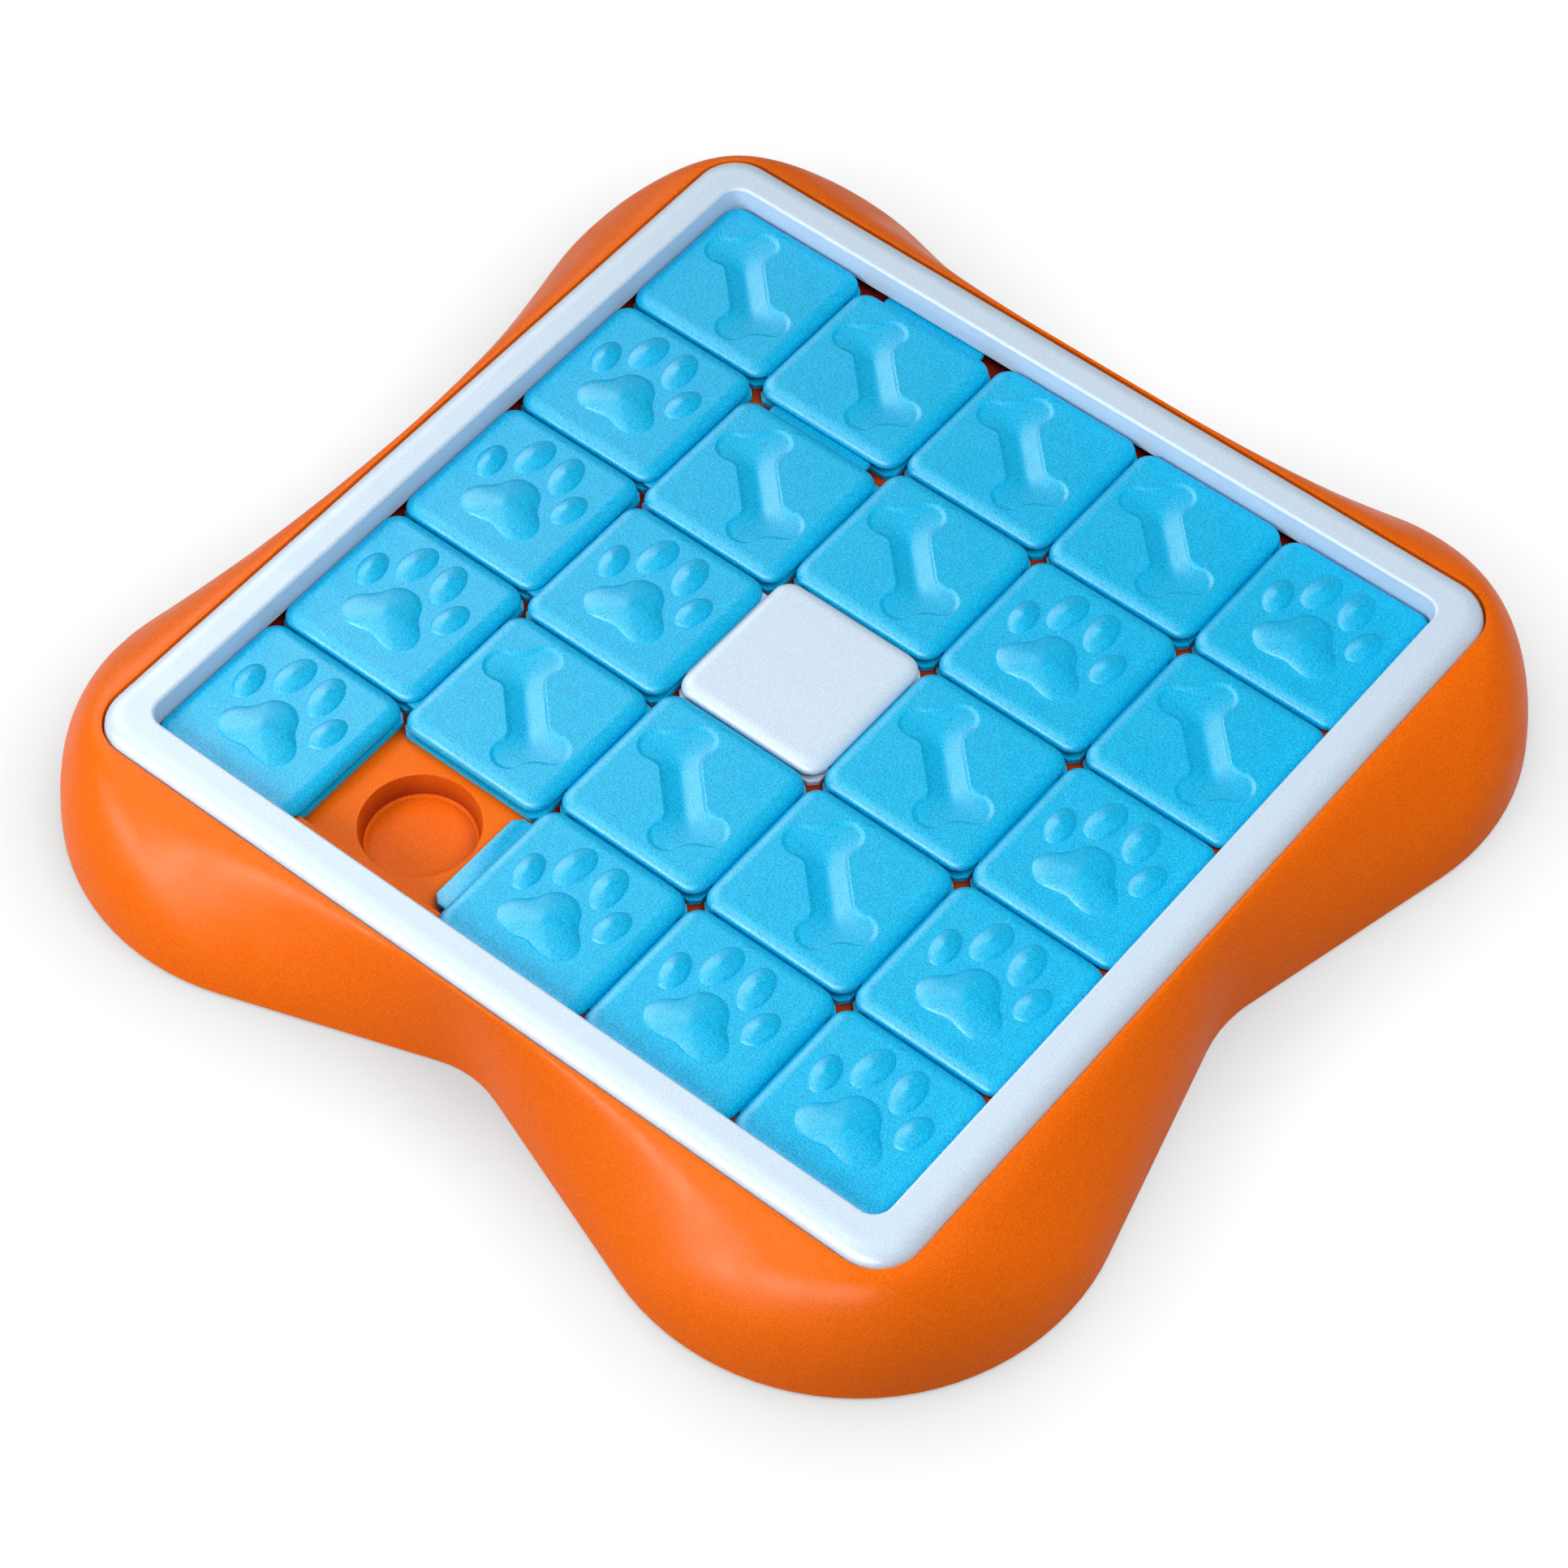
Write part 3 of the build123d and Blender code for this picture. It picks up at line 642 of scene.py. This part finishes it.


# The orange gets painted shade on the covered floor of the field and in its cups.
orange_plastic = moulded(
    "orange_plastic_finish", ORANGE, roughness=0.36, grain=0.25, mottle=0.18, specular=0.035,
    deep=PAINTED_SHADE_ORANGE,
)
blue_plastic = moulded(
    "blue_plastic_finish", BLUE, roughness=0.41, grain=0.3, mottle=0.32, specular=0.17
)
pale_plastic = moulded(
    "pale_plastic_finish", PALE, roughness=0.40, grain=0.25, mottle=0.09, specular=0.2
)
foot_rubber = moulded(
    "foot_rubber_finish", RUBBER, roughness=0.75, grain=0.4, mottle=0.035, specular=0.5
)
screw_steel = turned_steel("screw_steel_finish")

CAD_FINISH = {
    "base_tray": orange_plastic,
    "frame": pale_plastic,
    "centre_tile_glide": pale_plastic,
    "centre_screw": screw_steel,
    "frame_screws": screw_steel,
}
for node_name, node in frame["nodes"].items():
    if node_name.startswith("foot_"):
        finish = foot_rubber
    else:
        finish = CAD_FINISH.get(node_name, blue_plastic)
    node.data.materials.clear()
    node.data.materials.append(finish)

# ------------------------------------------------------------------ caps

CAP_MESHES = {
    "paw": cap_mesh("paw_cap_mesh", paw_print(), blue_plastic),
    "bone": cap_mesh("bone_cap_mesh", bone_print(), blue_plastic),
    "centre": cap_mesh("centre_cap_mesh", [], pale_plastic),
}
PLAIN_CAP_HEIGHT = (PLATE_TOP - CORE_BOTTOM + PAW_CLEARANCE) * MM
HALF_TILE = TILE_WIDTH / 2 * MM

for node_name, node in frame["nodes"].items():
    if not node_name.endswith("_cap"):
        continue
    low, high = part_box(node_name)
    if node_name.startswith("centre"):
        kind = "centre"
    else:
        kind = "paw" if high.z - low.z > PLAIN_CAP_HEIGHT else "bone"
    piece = bpy.data.objects.new(node_name.replace("_cap", "_top"), CAP_MESHES[kind])
    scene.collection.objects.link(piece)
    piece.location = (high.x - HALF_TILE, low.y + HALF_TILE, 0)
    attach(piece, node["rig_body"])
    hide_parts(node_name)

# ------------------------------------------------------------------ floor and world

FLOOR_HALF = 6.0
FLOOR_GREY = 0.95
FLOOR_BOUNCE = 0.4

# The camera sees the floor as a glow with a share of matt grey, which takes the lamps' shadows.
FLOOR_GLOW = 0.90
FLOOR_WHITE = 1.06

# The contact shadow in the glow: how far it reaches, and how much of it shows.
SHADE_REACH = 0.04
SHADE_SHARE = 0.8

WHITE = (1, 1, 1, 1)
BACKDROP = (0.8, 0.8, 0.8, 1)
SKY = (0.93, 0.96, 1.0, 1)
SKY_STRENGTH = 0.22


def seen_directly(tree):
    """1 for rays from the camera and for reflections, 0 for light on its way to other surfaces."""
    path = tree.nodes.new("ShaderNodeLightPath")
    seen = path.outputs["Is Camera Ray"]
    for other in ("Is Glossy Ray", "Is Transmission Ray"):
        seen = calculated(tree, "MAXIMUM", seen, path.outputs[other])
    return seen


def matt(tree, grey):
    """Plain matt shader."""
    node = tree.nodes.new("ShaderNodeBsdfDiffuse")
    feed(tree, (grey, grey, grey, 1), node.inputs["Color"])
    return node.outputs["BSDF"]


def lit_floor():
    """White floor that keeps the object's shadow and sends little light back up."""
    mesh = bpy.data.meshes.new("floor_mesh")
    corners = [(x * FLOOR_HALF, y * FLOOR_HALF, 0) for x, y in ((-1, -1), (1, -1), (1, 1), (-1, 1))]
    mesh.from_pydata(corners, [], [(0, 1, 2, 3)])
    material = bpy.data.materials.new("floor_finish")
    material.use_nodes = True
    tree = material.node_tree
    tree.nodes.clear()
    shade = tree.nodes.new("ShaderNodeAmbientOcclusion")
    feed(tree, SHADE_REACH, shade.inputs["Distance"])
    glow = tree.nodes.new("ShaderNodeEmission")
    feed(tree, blended(tree, SHADE_SHARE, WHITE, shade.outputs["Color"]), glow.inputs["Color"])
    feed(tree, FLOOR_WHITE, glow.inputs["Strength"])
    white = mixed(tree, FLOOR_GLOW, matt(tree, FLOOR_GREY), glow.outputs["Emission"])
    finish = mixed(tree, seen_directly(tree), matt(tree, FLOOR_BOUNCE), white)
    feed(tree, finish, tree.nodes.new("ShaderNodeOutputMaterial").inputs["Surface"])
    mesh.materials.append(material)
    floor = bpy.data.objects.new("floor", mesh)
    scene.collection.objects.link(floor)
    return floor


def studio_world():
    """Soft even light, and a plain pale backdrop to the camera and in reflections."""
    world = bpy.data.worlds.new("studio")
    world.use_nodes = True
    tree = world.node_tree
    tree.nodes.clear()
    light = tree.nodes.new("ShaderNodeBackground")
    feed(tree, SKY, light.inputs["Color"])
    feed(tree, SKY_STRENGTH, light.inputs["Strength"])
    backdrop = tree.nodes.new("ShaderNodeBackground")
    feed(tree, BACKDROP, backdrop.inputs["Color"])
    lit, seen = light.outputs["Background"], backdrop.outputs["Background"]
    both = mixed(tree, seen_directly(tree), lit, seen)
    feed(tree, both, tree.nodes.new("ShaderNodeOutputWorld").inputs["Surface"])
    return world


lit_floor()
scene.world = studio_world()

# ------------------------------------------------------------------ lamps


def softbox(name, place, size, power, kind):
    """Lamp that points at the middle of the object, for its light or for its reflection."""
    lamp = bpy.data.lights.new(name, "AREA")
    lamp.shape = "RECTANGLE"
    lamp.size, lamp.size_y = size
    lamp.energy = power
    light = bpy.data.objects.new(name, lamp)
    scene.collection.objects.link(light)
    light.location = place
    light.rotation_euler = (-Vector(place)).to_track_quat("-Z", "Y").to_euler()
    light.visible_camera = False
    light.visible_glossy = kind == "reflection"
    light.visible_diffuse = kind == "light"


softbox("key", (-0.40, -0.78, 0.52), (0.34, 0.34), 5.6, "light")
softbox("overhead", (0.42, -0.05, 0.98), (0.80, 0.80), 7.8, "light")
softbox("glint", (-0.05, -0.98, 0.40), (1.70, 0.16), 80.0, "reflection")
softbox("sheen", (-1.05, 0.15, 0.80), (1.10, 1.10), 48.0, "reflection")
softbox("front_sheen", (-0.36, -0.50, 1.00), (0.60, 0.60), 13.0, "reflection")

# ------------------------------------------------------------------ camera

# The camera is given by its place, the direction that it looks in, in degrees, and its focal length
# in pixels of the photo. The sensor's width is in millimetres, as Blender takes it, and only sets
# the lens to go with it.
CAMERA_PLACE = (0.4828, -0.6135, 1.0600)
CAMERA_AZIMUTH = 38.516
CAMERA_ELEVATION = 54.040
CAMERA_ROLL = 0.436
FOCAL_PIXELS = 5656.45
FRAME_PIXELS = 1932
SENSOR_WIDTH = 36.0
NEAREST, FARTHEST = 0.01, 50


def photo_camera():
    """The camera that took the photograph."""
    az, el, roll = (math.radians(a) for a in (CAMERA_AZIMUTH, CAMERA_ELEVATION, CAMERA_ROLL))
    ahead = Vector((-math.sin(az) * math.cos(el), math.cos(az) * math.cos(el), -math.sin(el)))
    level = Vector((math.cos(az), math.sin(az), 0))
    up = level.cross(ahead)
    right = math.cos(roll) * level + math.sin(roll) * up
    top = math.cos(roll) * up - math.sin(roll) * level
    data = bpy.data.cameras.new("camera")
    data.sensor_width = SENSOR_WIDTH
    data.lens = FOCAL_PIXELS * SENSOR_WIDTH / FRAME_PIXELS
    data.clip_start, data.clip_end = NEAREST, FARTHEST
    camera = bpy.data.objects.new("camera", data)
    scene.collection.objects.link(camera)
    rotation = Matrix((right, top, -ahead)).transposed().to_4x4()
    camera.matrix_world = Matrix.Translation(CAMERA_PLACE) @ rotation
    return camera


scene.camera = photo_camera()
scene.view_settings.view_transform = "Standard"
